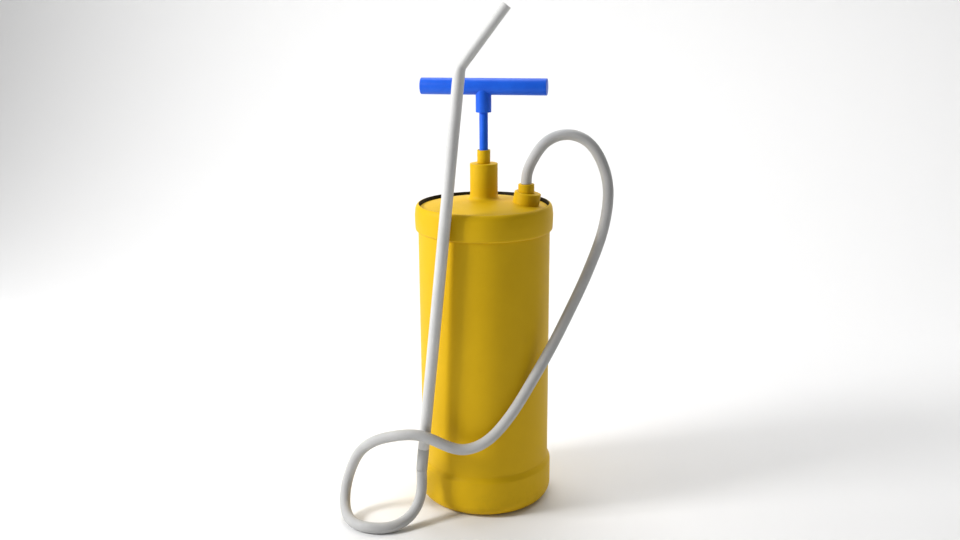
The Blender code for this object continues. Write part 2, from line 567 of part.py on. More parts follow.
# ---------------------------------------------------------------- pump: fixed pieces
def make_pump_body():
    """Barrel with its gasket, foot and check valve, and the cap with its rod guide."""
    flange = SPIGOT_RADIUS - RUN
    tube_line = [(BARREL_BORE, FLANGE_TOP), (flange, FLANGE_TOP), (flange, FLANGE_FOOT),
                 (BARREL_RADIUS, FLANGE_FOOT), (BARREL_RADIUS, BARREL_FOOT), (BARREL_BORE, BARREL_FOOT)]
    turned("pump_barrel", tube_line, WHITE_PLASTIC, ROUND, closed=True)
    gasket_foot = SPIGOT_TOP + SEAM
    tube("neck_gasket", flange, BARREL_RADIUS + RUN, gasket_foot, gasket_foot + GASKET, RUBBER)

    foot = [(AIR_HOLE, FOOT_TOP), (BARREL_BORE - SEAM, FOOT_TOP), (BARREL_BORE - SEAM, BARREL_FOOT - SEAM),
            (BARREL_RADIUS, BARREL_FOOT - SEAM), (BARREL_RADIUS, FOOT_BOTTOM),
            (VALVE_POCKET_RADIUS, FOOT_BOTTOM), (VALVE_POCKET_RADIUS, VALVE_SEAT), (AIR_HOLE, VALVE_SEAT)]
    turned("barrel_foot", foot, WHITE_PLASTIC, ROUND, closed=True)
    valve_top = VALVE_SEAT - SEAM
    valve_foot = valve_top - VALVE_THICK
    round_bar("check_valve_disc", VALVE_RADIUS, valve_foot, valve_top, RUBBER, SMALL_ROUND)

    cage_top = FOOT_BOTTOM - SEAM
    cage = round_bar("valve_cage", BARREL_RADIUS, cage_top - CAGE_THICK, cage_top, WHITE_PLASTIC)
    for i in range(4):
        hole = round_bar(f"cage_hole_{i + 1}", CAGE_HOLE, cage_top - 2 * CAGE_THICK, cage_top + CAGE_THICK,
                         None, 12, cutters)
        turn = math.pi / 4 + i * math.pi / 2
        hole.location = (CAGE_HOLE_CIRCLE * math.cos(turn), CAGE_HOLE_CIRCLE * math.sin(turn), 0)
        boolean(cage, hole)

    low = cage_top + SEAM + SPRING_WIRE
    high = valve_foot - SEAM - SPRING_WIRE
    per_turn = 12
    coil = []
    for i in range(SPRING_TURNS * per_turn + 1):
        turn = math.tau * i / per_turn
        share = i / (SPRING_TURNS * per_turn)
        coil.append(Vector((SPRING_RADIUS * math.cos(turn), SPRING_RADIUS * math.sin(turn),
                            low + (high - low) * share)))
    wire("valve_spring", coil, SPRING_WIRE, STEEL, 1)

    # The cap screws down over the neck's spigot and holds the barrel's flange.
    skirt_bore = SPIGOT_RADIUS + RUN
    ceiling = FLANGE_TOP + SEAM
    bush_bore = BUSH_RADIUS + SEAM
    bush_top = GUIDE_FOOT - GUIDE_THREAD - SEAM
    thread_bore = GUIDE_THREAD_RADIUS + SEAM
    cap = [(thread_bore, CAP_TOP), (NECK_RADIUS - CAP_ROUND, CAP_TOP), (NECK_RADIUS, CAP_TOP - CAP_ROUND),
           (NECK_RADIUS, CAP_FOOT), (skirt_bore, CAP_FOOT), (skirt_bore, ceiling), (bush_bore, ceiling),
           (bush_bore, bush_top), (thread_bore, bush_top)]
    turned("pump_cap", cap, YELLOW, MID_ROUND, closed=True)
    tube("rod_bush", BUSH_RADIUS, ROD_BORE, ceiling, bush_top - SEAM, WHITE_PLASTIC)

    pocket = WIPER_RADIUS + SEAM
    pocket_foot = GUIDE_TOP - WIPER_DEPTH
    guide = [(pocket, GUIDE_TOP), (GUIDE_RADIUS - GUIDE_EDGE, GUIDE_TOP),
             (GUIDE_RADIUS, GUIDE_TOP - GUIDE_EDGE),
             (GUIDE_RADIUS, GUIDE_FOOT), (GUIDE_THREAD_RADIUS, GUIDE_FOOT),
             (GUIDE_THREAD_RADIUS, GUIDE_FOOT - GUIDE_THREAD), (ROD_BORE, GUIDE_FOOT - GUIDE_THREAD),
             (ROD_BORE, pocket_foot), (pocket, pocket_foot)]
    turned("guide_nut", guide, YELLOW, ROUND, closed=True)
    tube("rod_wiper", WIPER_RADIUS, ROD_BORE, pocket_foot + SEAM, GUIDE_TOP - 2 * SEAM, RUBBER)


# ---------------------------------------------------------------- pump: moving pieces
def make_piston():
    """Washer, cup leather and expander stacked on the rod's stem, held by a nut."""
    bore = STEM_RADIUS + RUN
    washer_top = SHOULDER - SEAM
    washer_foot = washer_top - WASHER_THICK
    tube("piston_washer", WASHER_RADIUS, bore, washer_foot, washer_top, STEEL)
    cup_top = washer_foot - SEAM
    cup_foot = cup_top - PISTON_CUP_HEIGHT
    cup_inner = PISTON_CUP_RADIUS - PISTON_CUP_WALL
    ceiling = cup_top - PISTON_CUP_WALL
    turned("piston_cup", [
        (bore, cup_top), (PISTON_CUP_RADIUS - PISTON_CUP_SHOULDER, cup_top),
        (PISTON_CUP_RADIUS, cup_top - PISTON_CUP_SHOULDER), (PISTON_CUP_RADIUS, cup_foot),
        (cup_inner + RUN, cup_foot), (cup_inner, ceiling), (bore, ceiling)],
        LEATHER, ROUND, closed=True)
    expander_top = ceiling - SEAM
    expander_foot = expander_top - EXPANDER_THICK
    turned("piston_expander", [
        (bore, expander_top), (cup_inner - 2 * SEAM, expander_top),
        (cup_inner - 2 * SEAM - EXPANDER_TAPER, expander_foot), (bore, expander_foot)],
        WHITE_PLASTIC, ROUND, closed=True)
    nut_top = expander_foot - SEAM
    nut = round_bar("piston_nut", NUT_ACROSS / math.sqrt(3), nut_top - NUT_THICK, nut_top, BRASS, 6)
    nut.modifiers["turn"].use_smooth_shade = False
    boolean(nut, round_bar("nut_bore", bore, nut_top - 2 * NUT_THICK, nut_top + NUT_THICK, None, SMALL_ROUND,
                           cutters))


def make_rod():
    """The pump rod, its rubber bumper, and the T-handle pinned on its upper end."""
    rod = turned("pump_rod", [
        (0.0, ROD_TOP), (ROD_RADIUS, ROD_TOP), (ROD_RADIUS, SHOULDER), (STEM_RADIUS, SHOULDER),
        (STEM_RADIUS, STEM_END), (0.0, STEM_END)], BLUE)
    bumper_foot = SHOULDER + SEAM
    tube("rod_bumper", BUMPER_RADIUS, ROD_BORE, bumper_foot, bumper_foot + BUMPER_HEIGHT, RUBBER)

    socket = tube("handle_socket", SOCKET_RADIUS, ROD_BORE, SOCKET_FOOT, BAR_CENTRE, BLUE)
    saddle = round_bar("bar_saddle", BAR_RADIUS + SEAM, -BAR_LENGTH, BAR_LENGTH, None, MID_ROUND, cutters)
    along(saddle, Vector((0, 0, BAR_CENTRE)), Vector((1, 0, 0)))
    boolean(socket, saddle)

    pin_z = SOCKET_FOOT + PIN_ABOVE_SOCKET_FOOT
    pin_hole = round_bar("pin_hole", PIN_RADIUS + SEAM, -THROUGH, THROUGH, None, 12, cutters)
    along(pin_hole, Vector((0, 0, pin_z)), Vector((1, 0, 0)))
    boolean(socket, pin_hole)
    boolean(rod, pin_hole)
    reach = SOCKET_RADIUS - SEAM
    pin = round_bar("handle_pin", PIN_RADIUS, -reach, reach, STEEL, 12)
    along(pin, Vector((0, 0, pin_z)), Vector((1, 0, 0)))

    half = BAR_LENGTH / 2
    bar = tube("handle_bar", BAR_RADIUS, BAR_RADIUS - BAR_WALL, -half, half, BLUE)
    along(bar, Vector((0, 0, BAR_CENTRE)), Vector((1, 0, 0)))
    plug_radius = BAR_RADIUS - BAR_WALL - SEAM
    for side, direction in (("right", 1), ("left", -1)):
        plug = turned(f"bar_plug_{side}", [
            (0.0, half), (plug_radius, half), (plug_radius, half - BAR_PLUG), (0.0, half - BAR_PLUG)],
            BLUE, ROUND)
        along(plug, Vector((0, 0, BAR_CENTRE)), Vector((direction, 0, 0)))


# ---------------------------------------------------------------- wand and nozzle
def make_wand():
    """Sleeve, straight tube, elbow and tip tube, with the joiner pieces inside them."""
    sleeve = tube("hose_sleeve", WAND_RADIUS, SLEEVE_BORE, 0, SLEEVE_LENGTH - SEAM, SLEEVE_GREY)
    along(sleeve, SLEEVE_FOOT, WAND_DIRECTION)
    thin = SLEEVE_BORE - SEAM
    thick = WAND_INNER - SEAM
    joint = SLEEVE_LENGTH
    joiner = turned("wand_joiner", [
        (JOINER_BORE, joint + JOINER_STEP), (thick, joint + JOINER_STEP), (thick, joint), (thin, joint),
        (thin, SEAM), (JOINER_BORE, SEAM)], BRASS, SMALL_ROUND, closed=True)
    along(joiner, SLEEVE_FOOT, WAND_DIRECTION)

    wand_length = (WAND_BEND - WAND_LOW).length - ELBOW_LEG
    wand = tube("wand_tube", WAND_RADIUS, WAND_INNER, 0, wand_length, WAND_GREY)
    along(wand, WAND_LOW, WAND_DIRECTION)

    # The elbow is a bent tube, with a thinner end inside each of the straight tubes.
    entry = WAND_BEND - WAND_DIRECTION * (ELBOW_LEG - SEAM)
    leave = WAND_BEND + TIP_DIRECTION * (ELBOW_LEG - SEAM)
    bend = []
    for i in range(9):
        t = i / 8
        bend.append(entry * (1 - t) ** 2 + WAND_BEND * 2 * t * (1 - t) + leave * t ** 2)
    elbow = wire("wand_elbow", bend, 1.0, WAND_GREY, 6)
    elbow.data.bevel_depth = WAND_RADIUS
    for i, point in enumerate(elbow.data.splines[0].points):
        share = i / 8
        ease = share * share * (3 - 2 * share)
        point.radius = 1 + (TIP_RADIUS / WAND_RADIUS - 1) * ease
    elbow = as_mesh(elbow)
    elbow.data.materials.append(WAND_GREY)
    low_end = round_bar("elbow_low_end", thick, -JOINER_STEP, ELBOW_LEG / 2, None, SMALL_ROUND, cutters)
    along(low_end, entry, WAND_DIRECTION)
    high_end = round_bar("elbow_high_end", TIP_INNER - SEAM, -ELBOW_LEG / 2, JOINER_STEP, None, SMALL_ROUND,
                         cutters)
    along(high_end, leave, TIP_DIRECTION)
    passage = [entry - WAND_DIRECTION * 2 * JOINER_STEP] + bend + [leave + TIP_DIRECTION * 2 * JOINER_STEP]
    bore = as_mesh(wire("elbow_bore", passage, JOINER_BORE, None, 3, cutters))
    boolean(elbow, low_end, "UNION")
    boolean(elbow, high_end, "UNION")
    boolean(elbow, bore)

    tip_length = (WAND_TIP - WAND_BEND).length - ELBOW_LEG
    tube_length = tip_length - NOZZLE_CAP_LENGTH - NOZZLE_HEAD - 2 * SEAM
    tip_start = WAND_BEND + TIP_DIRECTION * ELBOW_LEG
    tip = tube("tip_tube", TIP_RADIUS, TIP_INNER, 0, tube_length, WAND_GREY)
    along(tip, tip_start, TIP_DIRECTION)

    # Nozzle body: a spigot in the tube, a head of the tube's size and a nose inside the cap.
    head_foot = tube_length + SEAM
    head_top = head_foot + NOZZLE_HEAD
    groove_foot = head_top + NOZZLE_GROOVE_UP
    groove_top = groove_foot + NOZZLE_GROOVE_WIDTH
    groove = NOZZLE_NOSE_RADIUS - NOZZLE_GROOVE
    nose_top = head_top + NOZZLE_NOSE
    body = turned("nozzle_body", [
        (NOZZLE_BORE, nose_top), (NOZZLE_NOSE_RADIUS, nose_top), (NOZZLE_NOSE_RADIUS, groove_top),
        (groove, groove_top), (groove, groove_foot), (NOZZLE_NOSE_RADIUS, groove_foot),
        (NOZZLE_NOSE_RADIUS, head_top), (TIP_RADIUS, head_top), (TIP_RADIUS, head_foot),
        (TIP_INNER - SEAM, head_foot), (TIP_INNER - SEAM, head_foot - JOINER_STEP),
        (NOZZLE_BORE, head_foot - JOINER_STEP)], WAND_GREY, ROUND, closed=True)
    along(body, tip_start, TIP_DIRECTION)
    seal_centre = groove + SEAM / 2 + SEAL_RADIUS
    groove_middle = (groove_foot + groove_top) / 2
    seal = turned("nozzle_seal", arc(seal_centre, groove_middle, SEAL_RADIUS, 90, -225, 7), RUBBER,
                  SMALL_ROUND, closed=True)
    along(seal, tip_start, TIP_DIRECTION)

    cap_foot = head_top + SEAM
    cap_top = cap_foot + NOZZLE_CAP_LENGTH
    inside = cap_top - NOZZLE_FRONT
    disc = tube("swirl_disc", NOZZLE_CAP_BORE - SEAM, DISC_HOLE, inside - SEAM - DISC_THICK, inside - SEAM,
                BRASS, SMALL_ROUND)
    along(disc, tip_start, TIP_DIRECTION)
    nozzle_cap = turned("nozzle_cap", [
        (NOZZLE_HOLE, cap_top - NOZZLE_DISH_DEPTH), (NOZZLE_DISH_RADIUS, cap_top),
        (TIP_RADIUS - NOZZLE_EDGE, cap_top), (TIP_RADIUS, cap_top - NOZZLE_EDGE), (TIP_RADIUS, cap_foot),
        (NOZZLE_CAP_BORE, cap_foot), (NOZZLE_CAP_BORE, inside), (NOZZLE_HOLE, inside)],
        WAND_GREY, ROUND, closed=True)
    along(nozzle_cap, tip_start, TIP_DIRECTION)


# ---------------------------------------------------------------- hose
def make_hose():
    """One smooth length of hose along its route."""
    start = Vector((OUTLET_OFFSET, 0, GLAND_TOP + SEAM))
    end = SLEEVE_FOOT - WAND_DIRECTION * SEAM
    route = [start] + [placed(point) for point in HOSE_ROUTE_MM] + [end]
    path = smooth_path(route, HOSE_SPACING)
    path.insert(1, start + Vector((0, 0, HOSE_STUB)))
    path.insert(-1, end - WAND_DIRECTION * HOSE_STUB)
    wire("hose", path, HOSE_RADIUS, GREY, 3)


make_tank()
make_head()
make_outlet()
make_pump_body()
make_piston()
make_rod()
make_wand()
make_hose()
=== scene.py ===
# %% [markdown]
# # A compression sprayer
#
# A compression sprayer is a steel tank that is pumped up by hand. The air on top of the liquid then
# pushes it through a dip tube, a hose and a long bent wand. This lesson dresses a bare engineering model
# of one: every piece that shows is modelled again with a finer surface, and every piece gets a finish.
#
# The frame holds the engineering model. Its pieces are already in metres and in their places, so sizes
# are read from it wherever it has them.

# %% Load the frame
import json
import math

import bpy
import numpy as np
from mathutils import Matrix, Vector


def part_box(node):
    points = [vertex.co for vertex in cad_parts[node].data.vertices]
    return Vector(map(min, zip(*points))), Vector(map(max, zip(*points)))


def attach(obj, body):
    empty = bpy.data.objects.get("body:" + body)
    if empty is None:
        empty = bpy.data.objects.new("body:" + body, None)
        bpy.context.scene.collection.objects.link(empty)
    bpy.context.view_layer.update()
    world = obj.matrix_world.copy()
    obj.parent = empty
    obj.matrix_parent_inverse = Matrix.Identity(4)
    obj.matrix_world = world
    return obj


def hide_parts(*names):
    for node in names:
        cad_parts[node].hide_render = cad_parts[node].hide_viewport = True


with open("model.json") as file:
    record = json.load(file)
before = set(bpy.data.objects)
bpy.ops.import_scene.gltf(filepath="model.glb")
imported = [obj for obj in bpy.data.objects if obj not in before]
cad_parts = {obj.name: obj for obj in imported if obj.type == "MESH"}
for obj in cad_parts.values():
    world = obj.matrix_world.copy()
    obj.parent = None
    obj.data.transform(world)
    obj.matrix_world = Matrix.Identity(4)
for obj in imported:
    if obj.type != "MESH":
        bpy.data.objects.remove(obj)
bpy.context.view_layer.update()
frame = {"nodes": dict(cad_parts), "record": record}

MM = 0.001
BODY_OF = {node: body for body, nodes in frame["record"]["behaviour"]["bodies"].items() for node in nodes}
SLOT_OF = {part["node"]: part["material_slot"] for part in frame["record"]["subparts"]}
bpy.ops.object.select_all(action="DESELECT")
print("pieces in the frame:", len(BODY_OF))

# %% [markdown]
# ## Camera
#
# A product picture of a tall thing is taken from a little above it, with a normal lens, so that the sides
# stay nearly upright. The camera is turned about the tank, tilted down, and rolled by a third of a degree.
# Three rotation matrices, one for each of those moves, say this more plainly than Euler angles would.

# %% Place the camera
CAMERA_PLACE = Vector((0.27017, -1.27107, 0.66895))
CAMERA_TURN = math.radians(12.261)
CAMERA_TILT = math.radians(75.402)
CAMERA_ROLL = math.radians(-0.328)
SENSOR_WIDTH = 36.0
LENS = 36.32

bpy.ops.object.camera_add()
camera = bpy.context.object
camera.name = "camera"
camera.data.sensor_width = SENSOR_WIDTH
camera.data.lens = LENS
camera.matrix_world = (Matrix.Translation(CAMERA_PLACE) @ Matrix.Rotation(CAMERA_TURN, 4, "Z")
                       @ Matrix.Rotation(CAMERA_TILT, 4, "X") @ Matrix.Rotation(CAMERA_ROLL, 4, "Z"))
bpy.context.scene.camera = camera
print("camera to tank axis:", round(CAMERA_PLACE.xy.length, 3), "m")

# %% [markdown]
# ## Studio
#
# The sprayer stands on a pale paper sweep, which is a floor that curves up into a wall. A plane makes it:
# its far edge is extruded upwards, and the crease between floor and wall is bevelled into a wide curve,
# so no line shows behind the tank. The key light is a small square high at the front on the left, which
# leaves one clear soft shadow on the right. A wide, weak light beside it brightens the tank's left flank.
# Two more hang over the paper's back, so that the wall behind stays white, and a pale world fills the
# rest.

# %% Build the paper sweep
SWEEP_SIZE = 9.0
SWEEP_BACK = 1.7
SWEEP_HEIGHT = 3.5
SWEEP_CURVE = 0.9

bpy.ops.object.select_all(action="DESELECT")
bpy.ops.mesh.primitive_plane_add(size=SWEEP_SIZE, location=(0, SWEEP_BACK - SWEEP_SIZE / 2, 0))
sweep = bpy.context.object
sweep.name = "paper_sweep"
bpy.ops.object.transform_apply(location=True)
for face in sweep.data.polygons:
    face.select = False
for vertex in sweep.data.vertices:
    vertex.select = vertex.co.y > SWEEP_BACK / 2
for edge in sweep.data.edges:
    edge.select = all(sweep.data.vertices[v].select for v in edge.vertices)
bpy.ops.object.mode_set(mode="EDIT")
bpy.ops.mesh.extrude_region_move(TRANSFORM_OT_translate={"value": (0, 0, SWEEP_HEIGHT)})
bpy.ops.object.mode_set(mode="OBJECT")
crease = sweep.modifiers.new("sweep curve", "BEVEL")
crease.width = SWEEP_CURVE
crease.segments = 24
crease.limit_method = "ANGLE"
bpy.ops.object.modifier_apply(modifier=crease.name)
bpy.ops.object.shade_smooth()

paper = bpy.data.materials.new("sweep_paper")
paper.use_nodes = True
paper_shader = paper.node_tree.nodes["Principled BSDF"]
paper_shader.inputs["Base Color"].default_value = (0.88, 0.88, 0.88, 1)
paper_shader.inputs["Roughness"].default_value = 0.9
sweep.data.materials.append(paper)
print("sweep faces:", len(sweep.data.polygons))


# %% Hang the lights
def soft_light(name, place, aim, size, power):
    """A square area light at a place, turned to point at its aim."""
    bpy.ops.object.light_add(type="AREA", location=place)
    light = bpy.context.object
    light.name = name
    light.data.size = size
    light.data.energy = power
    light.rotation_mode = "QUATERNION"
    light.rotation_quaternion = (Vector(aim) - Vector(place)).to_track_quat("-Z", "Y")


soft_light("key_light", (-1.45, -0.80, 1.25), (0, 0, 0.50), 0.45, 27)
soft_light("left_wall_light", (-1.5, -0.5, 0.75), (0, 0, 0.30), 1.6, 9)
soft_light("back_wall_light", (-0.4, 1.0, 2.9), (0.3, 1.9, 0.8), 1.6, 42)
soft_light("right_wall_light", (1.3, 1.25, 2.4), (1.1, 1.9, 0.3), 1.0, 12)

world = bpy.context.scene.world or bpy.data.worlds.new("world")
bpy.context.scene.world = world
world.use_nodes = True
backdrop = world.node_tree.nodes["Background"]
backdrop.inputs["Color"].default_value = (1.0, 1.0, 1.0, 1)
backdrop.inputs["Strength"].default_value = 0.19
bpy.context.scene.view_settings.view_transform = "Standard"


# %% [markdown]
# ## A small language for finishes
#
# A finish is a web of shader nodes, which is tiring to read as a list of links. The class below wraps one
# output of a node. Adding, taking away or multiplying two of them adds the Math node that does it, so a
# finish reads as a sum. Every other kind of node comes from one method.

# %% Wrap a shader socket
class Field:
    """A value that varies over a surface: one output of a material's nodes."""

    def __init__(self, tree, socket):
        self.tree = tree
        self.socket = socket

    def node(self, kind, settings=None, sockets=None, output=0):
        """Add a node: its settings first, then the values or links of its sockets."""
        added = self.tree.nodes.new("ShaderNode" + kind)
        for name, value in (settings or {}).items():
            if name == "stops":
                for stop, (position, shade) in zip(added.color_ramp.elements, value):
                    stop.position = position
                    stop.color = (shade, shade, shade, 1)
            else:
                setattr(added, name, value)
        for name, value in (sockets or {}).items():
            if isinstance(value, Field):
                self.tree.links.new(value.socket, added.inputs[name])
            else:
                added.inputs[name].default_value = value
        return Field(self.tree, added.outputs[output])

    def maths(self, operation, first, second):
        return self.node("Math", {"operation": operation}, {0: first, 1: second})

    def __add__(self, other):
        return self.maths("ADD", self, other)

    def __radd__(self, other):
        return self.maths("ADD", other, self)

    def __sub__(self, other):
        return self.maths("SUBTRACT", self, other)

    def __rsub__(self, other):
        return self.maths("SUBTRACT", other, self)

    def __mul__(self, other):
        return self.maths("MULTIPLY", self, other)

    def __rmul__(self, other):
        return self.maths("MULTIPLY", other, self)

    def noise(self, scale, detail=2.0, roughness=0.5):
        """Cloudy noise, with about this many clouds in a metre."""
        return self.node("TexNoise", None, {"Vector": self, "Scale": scale, "Detail": detail,
                                            "Roughness": roughness})

    def between(self, low, high):
        """0 below low, 1 above high, and a smooth step from one to the other."""
        return self.node("MapRange", {"interpolation_type": "SMOOTHSTEP"},
                         {"Value": self, "From Min": low, "From Max": high})

    def stretched(self, x, y, z):
        """The same place, measured with another scale along each axis."""
        return self.node("Mapping", None, {"Vector": self, "Scale": (x, y, z)})

    def along(self, axis):
        """One coordinate of a place, by its name X, Y or Z."""
        return self.node("SeparateXYZ", None, {"Vector": self}, output="XYZ".index(axis))

    def tint(self, first, second):
        """The first colour where this is 0, and the second where it is 1."""
        return self.node("Mix", {"data_type": "RGBA"}, {0: self, 6: rgba(first), 7: rgba(second)}, output=2)


def rgba(colour):
    """A colour of three numbers gets its fourth. A colour that varies stays as it is."""
    return colour if isinstance(colour, Field) else (*colour, 1.0)


# %% Start a finish and end it
def new_finish(name, metallic=0.0, gloss=0.5):
    """A material with its Principled shader, and the place on the surface to paint by."""
    material = bpy.data.materials.new(name)
    material.use_nodes = True
    tree = material.node_tree
    shader = tree.nodes["Principled BSDF"]
    shader.inputs["Metallic"].default_value = metallic
    shader.inputs["Specular IOR Level"].default_value = gloss
    place = Field(tree, tree.nodes.new("ShaderNodeTexCoord").outputs["Object"])
    return material, place


def give(material, colour, roughness, relief, depth):
    """Link colour, roughness and a relief of this depth, in metres, to the shader."""
    tree = material.node_tree
    shader = tree.nodes["Principled BSDF"]
    tree.links.new(colour.socket, shader.inputs["Base Color"])
    tree.links.new(roughness.socket, shader.inputs["Roughness"])
    normal = relief.node("Bump", None, {"Height": relief, "Distance": depth, "Strength": 1.0})
    tree.links.new(normal.socket, shader.inputs["Normal"])
    return material


# %% [markdown]
# ## Yellow powder coat
#
# The tank is steel with a baked yellow powder coat. Powder melts into a skin that is never quite flat:
# painters call the fine dimples orange peel. Two noises make it, one for the dimples and one for the slow
# waves in the sheet under them. Handling leaves the coat a little duller in clouds, and splashes leave it
# a little dirtier near the ground. The inner side of the ring round the head is painted near-black as
# painted shade, for the shadow in the gap behind the dome. Its distance from the tank's axis picks it out.

# %% Mix the powder coat
def powder_coat():
    material, place = new_finish("yellow_powder_coat", gloss=0.15)
    dimples = place.noise(950, 2.0)
    waves = place.noise(22, 2.0)
    clouds = place.noise(9, 4.0, 0.6)
    specks = place.noise(420, 1.0).between(0.70, 0.78)
    grime = (1 - place.along("Z").between(0.004, 0.075)) * place.noise(60, 5.0, 0.7).between(0.42, 0.75)
    colour = clouds.between(0.3, 0.75).tint((0.70, 0.430, 0.003), (0.75, 0.470, 0.005))
    colour = (grime * 0.14).tint(colour, (0.30, 0.20, 0.03))
    colour = (specks * 0.12).tint(colour, (0.55, 0.33, 0.01))
    from_axis = place.node("VectorMath", {"operation": "LENGTH"}, {0: place.stretched(1, 1, 0)}, output=1)
    # painted shade: the ring's inner face above the wall top is painted near-black, standing in for the
    # shadow behind the dome
    over_wall = place.along("Z").between(0.4045, 0.4050)
    painted_ring_shade = over_wall * from_axis.between(0.0882, 0.0883) * (1 - from_axis.between(0.0889, 0.0890))
    colour = painted_ring_shade.tint(colour, (0.012, 0.010, 0.006))
    roughness = 0.44 + clouds * 0.12 + grime * 0.25 + dimples * 0.05
    return give(material, colour, roughness, dimples + waves * 4.0, 0.00005)


# %% [markdown]
# ## Blue moulded plastic
#
# The handle and the rod are dyed plastic. The colour goes right through, so wear doesn't change it, and
# only the sheen differs: the mould leaves a fine even grain, and hands polish the clouds between.

# %% Mix the blue plastic
def blue_plastic():
    material, place = new_finish("blue_moulded_plastic", gloss=0.25)
    grain = place.noise(1500, 2.0)
    clouds = place.noise(30, 3.0, 0.6)
    scuffs = place.stretched(40, 900, 900).noise(1.0, 3.0).between(0.62, 0.70)
    colour = clouds.between(0.3, 0.7).tint((0.008, 0.110, 0.76), (0.012, 0.135, 0.84))
    colour = (scuffs * 0.18).tint(colour, (0.10, 0.26, 0.92))
    roughness = 0.34 + clouds * 0.10 + scuffs * 0.12
    return give(material, colour, roughness, grain + scuffs * 0.5, 0.00003)


# %% [markdown]
# ## Greys
#
# Hose, wand and sleeve are three greys of the same family. The hose is soft and dusty, the wand is a
# harder, smoother tube, and the sleeve between them is rubber-like plastic. The sleeve's grey is made
# darker as painted shade, for the shadow that the hose crossing above it casts there. One recipe with
# different numbers makes all three, so they keep a family likeness.

# %% Mix the greys
def grey_plastic(name, light, dark, dullness, grain_scale):
    material, place = new_finish(name)
    grain = place.noise(grain_scale, 3.0)
    clouds = place.noise(26, 4.0, 0.6)
    dust = place.noise(140, 4.0, 0.7).between(0.55, 0.75)
    colour = clouds.between(0.3, 0.7).tint(dark, light)
    colour = (dust * 0.12).tint(colour, (0.42, 0.40, 0.36))
    roughness = dullness + clouds * 0.12 + dust * 0.08
    return give(material, colour, roughness, grain + clouds * 0.6, 0.00004)


# %% [markdown]
# ## Inside finishes
#
# These show when the pump is drawn out: rubber seals, a leather piston cup, zinc-plated steel, turned
# brass and plain unpainted plastic.

# %% Mix the rubber, leather, steel, brass and plain plastic
def rubber():
    material, place = new_finish("seal_rubber")
    bloom = place.noise(70, 4.0, 0.6)
    colour = bloom.between(0.4, 0.8).tint((0.012, 0.012, 0.012), (0.045, 0.044, 0.042))
    return give(material, colour, 0.62 + bloom * 0.25, place.noise(1200, 2.0), 0.00004)


def oiled_leather():
    material, place = new_finish("oiled_leather")
    pores = place.noise(900, 4.0, 0.7)
    clouds = place.noise(80, 3.0)
    colour = clouds.between(0.3, 0.7).tint((0.085, 0.038, 0.014), (0.17, 0.085, 0.034))
    colour = (pores.between(0.6, 0.75) * 0.5).tint(colour, (0.03, 0.014, 0.006))
    return give(material, colour, 0.45 + pores * 0.3, pores, 0.00015)


def zinc_steel():
    material, place = new_finish("zinc_plated_steel", metallic=1.0)
    spangle = place.noise(240, 3.0)
    colour = spangle.between(0.3, 0.7).tint((0.52, 0.53, 0.55), (0.66, 0.67, 0.69))
    return give(material, colour, 0.26 + spangle * 0.2, place.noise(1400, 2.0), 0.00002)


def turned_brass():
    material, place = new_finish("turned_brass", metallic=1.0)
    tarnish = place.noise(120, 4.0, 0.6)
    colour = tarnish.between(0.4, 0.8).tint((0.76, 0.53, 0.20), (0.50, 0.33, 0.12))
    return give(material, colour, 0.24 + tarnish * 0.25, tarnish, 0.00002)


def plain_plastic():
    material, place = new_finish("plain_plastic")
    grain = place.noise(1300, 2.0)
    clouds = place.noise(35, 3.0)
    colour = clouds.between(0.3, 0.7).tint((0.70, 0.68, 0.61), (0.80, 0.79, 0.74))
    return give(material, colour, 0.40 + clouds * 0.12, grain, 0.00003)


# %% Give every frame piece its finish
FINISHES = {
    "yellow_paint": powder_coat(),
    "blue_plastic": blue_plastic(),
    "hose_grey": grey_plastic("hose_grey", (0.53, 0.53, 0.525), (0.47, 0.47, 0.465), 0.58, 700),
    "wand_grey": grey_plastic("wand_grey", (0.68, 0.68, 0.67), (0.62, 0.62, 0.61), 0.45, 1100),
    # painted shade: the sleeve's greys are darker to stand in for the hose's shadow on it
    "sleeve_grey": grey_plastic("sleeve_grey", (0.46, 0.46, 0.45), (0.40, 0.40, 0.39), 0.48, 500),
    "black_rubber": rubber(),
    "oiled_leather": oiled_leather(),
    "zinc_steel": zinc_steel(),
    "brass": turned_brass(),
    "natural_plastic": plain_plastic(),
}
for node, thing in frame["nodes"].items():
    thing.data.materials.clear()
    thing.data.materials.append(FINISHES[SLOT_OF[node]])
print("finishes:", ", ".join(FINISHES))


def stand_for(piece, *nodes):
    """The piece takes over from frame nodes: their body, their place and their finish."""
    piece.data.materials.clear()
    piece.data.materials.append(FINISHES[SLOT_OF[nodes[0]]])
    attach(piece, BODY_OF[nodes[0]])
    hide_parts(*nodes)


# %% [markdown]
# ## Hose
#
# The hose is one fixed length of soft tube. It leaves the gland straight up, arches over, comes down past
# the front of the tank, crosses the wand, makes a loose loop whose foot lies on the floor, and rises into
# the wand's sleeve. The points that it passes through are listed, and a natural cubic spline draws
# the one smooth curve through them, because a soft tube bends as evenly as it can.

# %% Draw the hose
HOSE_RADIUS = 7.25 * MM
SEAM = 0.3 * MM
WAND_LOW = Vector((-63.2, -103.6, 104.0)) * MM
WAND_BEND = Vector((-9.4, -96.8, 608.2)) * MM
WAND_TIP = Vector((47.9, -89.4, 683.9)) * MM
WAND_RADIUS = 7.65 * MM
SLEEVE_LENGTH = 32.0 * MM
WAND_DIRECTION = (WAND_BEND - WAND_LOW).normalized()
TIP_DIRECTION = (WAND_TIP - WAND_BEND).normalized()
SLEEVE_FOOT = WAND_LOW - WAND_DIRECTION * SLEEVE_LENGTH

